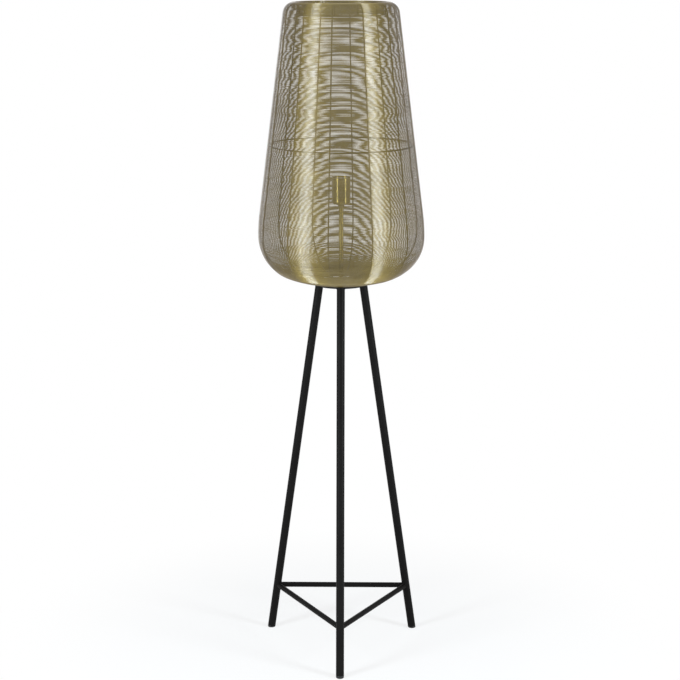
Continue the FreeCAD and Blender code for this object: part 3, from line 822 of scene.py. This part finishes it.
# %% Beads round each leg
def plate_seam():
    """The line on which the leg in the plane of +X meets the underside of the plate."""
    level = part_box("top_plate")[0].z - SEAM_DROP
    centre = LEG_FOOT + leg_way * (level - LEG_FOOT.z) / leg_way.z
    return [centre + Vector((math.cos(angle) / leg_way.z, math.sin(angle), 0)) * LEG_RADIUS
            for angle in around]


for name, degrees in LEG_TURNS.items():
    seams = {"plate": plate_seam(), "brace_a": brace_seam(-1), "brace_b": brace_seam(1)}
    for place, points in seams.items():
        mesh = wire_mesh("seam", turned_points(points, degrees), SEAM_RADIUS, 2, cyclic=True)
        keep_piece(mesh, "seam_%s_%s" % (name, place), powder_coat)

# %% [markdown]
# ## Spot welds
# The wires of the cage are spot-welded where they cross: each rib to both hoops, and to the base
# plate at its foot. Such a weld is a small squeezed lump, so a flattened ball at each crossing is
# enough. All 36 are one piece, as none of them is ever handled alone.

# %% Spot welds of the cage
WELD_SIZE = 1.3 * MM
WELD_FLATNESS = 0.8


def add_weld(bm, spot):
    """A small ball, flattened a little, at a crossing of two wires."""
    ball = bmesh.ops.create_icosphere(bm, subdivisions=1, radius=WELD_SIZE)
    bmesh.ops.scale(bm, vec=(1, 1, WELD_FLATNESS), verts=ball["verts"])
    bmesh.ops.translate(bm, vec=spot, verts=ball["verts"])


bm = bmesh.new()
for index in range(RIB_COUNT):
    angle = RIB_TURN + STEP * index
    heading = Vector((math.cos(angle), math.sin(angle), 0))
    for name in ("mid_ring", "collar_ring"):
        low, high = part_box(name)
        level = (low.z + high.z) / 2
        outer = high.x - (0 if name == "mid_ring" else high.z - low.z)
        add_weld(bm, heading * outer + Vector((0, 0, level)))
    add_weld(bm, heading * RIB_FOOT.x + Vector((0, 0, RIB_FOOT.z)))
make_piece(bm, "spot_welds", frame_brass_painted_shade)

# %% [markdown]
# ## What sees white
# The photograph's background is plain white, and so is what the metal mirrors. The Light Path node
# tells what kind of ray arrives, so one helper serves the floor and the world: its value is 1 for
# reflections and refractions, and the camera's rays get a value that each of the two chooses.

# %% Helper for white surroundings
def seen_as_white(tree, path_kind, camera_value, output):
    """A node with value 1 for reflections and refractions, and as given for the camera."""
    for kind in ("Is Glossy Ray", "Is Transmission Ray"):
        larger = node(tree, "ShaderNodeMath", operation="MAXIMUM")
        link(tree, camera_value, output, larger, 0)
        link(tree, path_kind, kind, larger, 1)
        camera_value, output = larger, 0
    return larger


# %% [markdown]
# ## Floor
# The lamp stands on a pale matt disc that takes its shadow. Near the lamp the camera sees a share
# of that real floor, mixed with plain white, and farther out the white takes over. A shadow
# catcher would do this too, but it needs a transparent render, laid over white afterwards.

# %% Floor
FLOOR_RADIUS = 8.0
FLOOR_DROP = 0.0005
SHADOW_FROM, SHADOW_TO = 0.25, 0.85
SHADOW_WHITE = 0.76


def stage_floor():
    """A pale disc under the lamp, with a floor material that takes its shadow."""
    bm = bmesh.new()
    bmesh.ops.create_circle(bm, cap_ends=True, radius=FLOOR_RADIUS, segments=96)
    mesh = bpy.data.meshes.new("floor")
    bm.to_mesh(mesh)
    bm.free()
    floor = bpy.data.objects.new("floor", mesh)
    floor.location.z = -FLOOR_DROP
    bpy.context.scene.collection.objects.link(floor)
    material = bpy.data.materials.new("pale_floor")
    material.use_nodes = True
    tree = material.node_tree
    tree.nodes.remove(tree.nodes["Principled BSDF"])
    matt = node(tree, "ShaderNodeBsdfDiffuse", sockets={"Color": (0.86, 0.86, 0.86, 1)})
    white = node(tree, "ShaderNodeEmission", sockets={"Strength": 1.0})
    path_kind = node(tree, "ShaderNodeLightPath")
    coords = node(tree, "ShaderNodeTexCoord")
    away = node(tree, "ShaderNodeVectorMath", operation="LENGTH")
    fade = node(tree, "ShaderNodeMapRange", interpolation_type="SMOOTHSTEP",
                sockets={"From Min": SHADOW_FROM, "From Max": SHADOW_TO,
                         "To Min": SHADOW_WHITE, "To Max": 1.0})
    share = node(tree, "ShaderNodeMath", operation="MULTIPLY")
    mixed = node(tree, "ShaderNodeMixShader")
    link(tree, coords, "Object", away, 0)
    link(tree, away, "Value", fade, "Value")
    link(tree, fade, 0, share, 0)
    link(tree, path_kind, "Is Camera Ray", share, 1)
    link(tree, seen_as_white(tree, path_kind, share, 0), 0, mixed, 0)
    link(tree, matt, 0, mixed, 1)
    link(tree, white, 0, mixed, 2)
    link(tree, mixed, 0, tree.nodes["Material Output"], "Surface")
    mesh.materials.append(material)


stage_floor()
print("floor: %.0f m across" % (2 * FLOOR_RADIUS))

# %% [markdown]
# ## World
# The world is white for the camera, for reflections and for refractions. As a light that white
# would be too strong, so for all other rays the world is only a soft even fill.

# %% World
WORLD_FILL = 0.25
world = bpy.data.worlds.new("studio")
bpy.context.scene.world = world
world.use_nodes = True
tree = world.node_tree
path_kind = node(tree, "ShaderNodeLightPath")
strength = node(tree, "ShaderNodeMapRange", sockets={"To Min": WORLD_FILL, "To Max": 1.0})
white = seen_as_white(tree, path_kind, path_kind, "Is Camera Ray")
link(tree, white, 0, strength, "Value")
tree.nodes["Background"].inputs["Color"].default_value = (1, 1, 1, 1)
link(tree, strength, 0, tree.nodes["Background"], "Strength")
print("world: fill light of strength", WORLD_FILL)

# %% [markdown]
# ## Lights
# Two tall soft boxes stand in front, to the left and the right, and give the two bright bands down
# the shade. Their width sets how wide the bands are, and their power how white. A large light
# hangs overhead, and a long low one in front brightens the underside of each turn. Spotlights
# would do for the bands, but then each wire would show only a thin line of light.

# %% Lights
SOFT_BOX_COLOUR = (0.87, 0.95, 1.0)


def soft_box(name, azimuth, away, level, width, tall, power, aim):
    """An area light that faces the lamp from an angle to the right of the camera."""
    data = bpy.data.lights.new(name, "AREA")
    data.shape = "RECTANGLE"
    data.size = width
    data.size_y = tall
    data.energy = power
    data.color = SOFT_BOX_COLOUR
    light = bpy.data.objects.new(name, data)
    around = math.radians(azimuth)
    light.location = (away * math.sin(around), -away * math.cos(around), level)
    look = Vector((0, 0, aim)) - light.location
    light.rotation_euler = look.to_track_quat("-Z", "Y").to_euler()
    bpy.context.scene.collection.objects.link(light)
    print(name, power, "W")


# name, angle in degrees, distance, height, width and length in metres, watts, height aimed at
LIGHTS = (
    ("soft_box_left", -50, 2.4, 1.2, 0.52, 2.3, 80, 1.0),
    ("soft_box_right", 58, 2.4, 1.2, 0.52, 2.3, 80, 1.0),
    ("overhead", 0, 0.6, 3.4, 2.0, 2.0, 14, 1.0),
    ("low_front", 0, 2.2, 0.15, 2.4, 0.25, 15, 0.87),
)
for row in LIGHTS:
    soft_box(*row)
